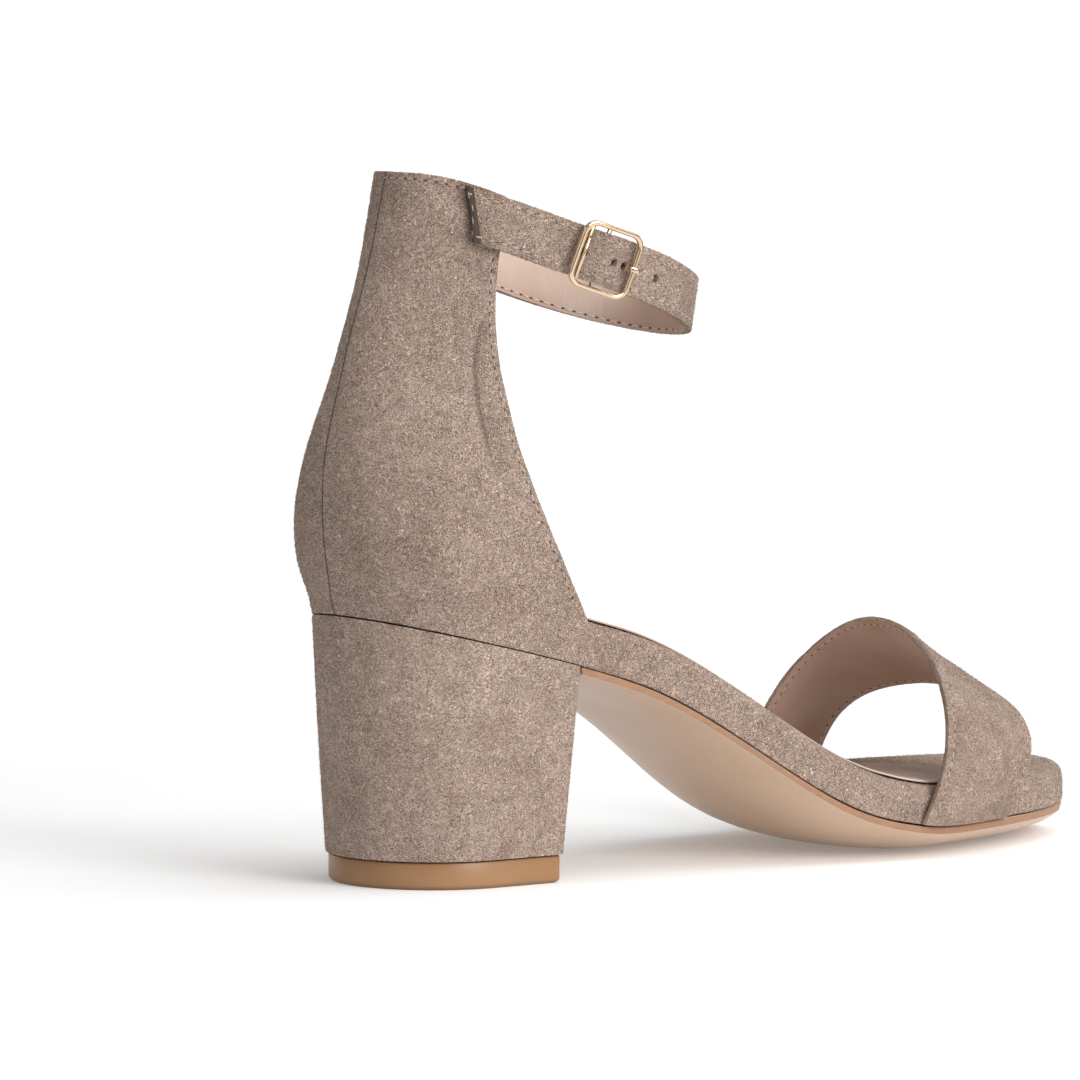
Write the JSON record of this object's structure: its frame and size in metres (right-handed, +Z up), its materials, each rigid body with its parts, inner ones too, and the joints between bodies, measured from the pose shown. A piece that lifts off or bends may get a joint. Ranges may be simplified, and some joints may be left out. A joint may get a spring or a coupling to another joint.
{
  "type": "block heel sandal",
  "caption": "Right block heel sandal: closed heel counter, buckled ankle strap, open-toe band, padded footbed and domed sole.",
  "frame": {"origin": "centre of the heel's floor face", "axes": "+Y from the heel to the toe, +X to the outer (lateral) side, +Z up from the floor"},
  "size_m": [0.0829, 0.2304, 0.1719],
  "materials": {
    "outsole": "satin nude coating",
    "footbed": "taupe suede over padding",
    "sock": "smooth nude lining",
    "counter": "taupe suede, nude lining",
    "vamp_band": "taupe suede, nude lining",
    "ankle_strap": "taupe suede, nude lining",
    "buckle_strap": "taupe suede",
    "buckle_frame": "polished gilt",
    "buckle_prong": "polished gilt",
    "heel_block": "wrapped in taupe suede",
    "top_piece": "semi-gloss tan"
  },
  "bodies": {
    "root": {"outsole": "outsole", "footbed": "footbed", "sock": "sock", "counter": "counter", "vamp_band": "vamp_band", "ankle_strap": "ankle_strap", "buckle_strap": "buckle_strap", "buckle_frame": "buckle_frame", "buckle_prong": "buckle_prong", "heel_block": "heel_block", "top_piece": "top_piece"}
  },
  "joints": []
}
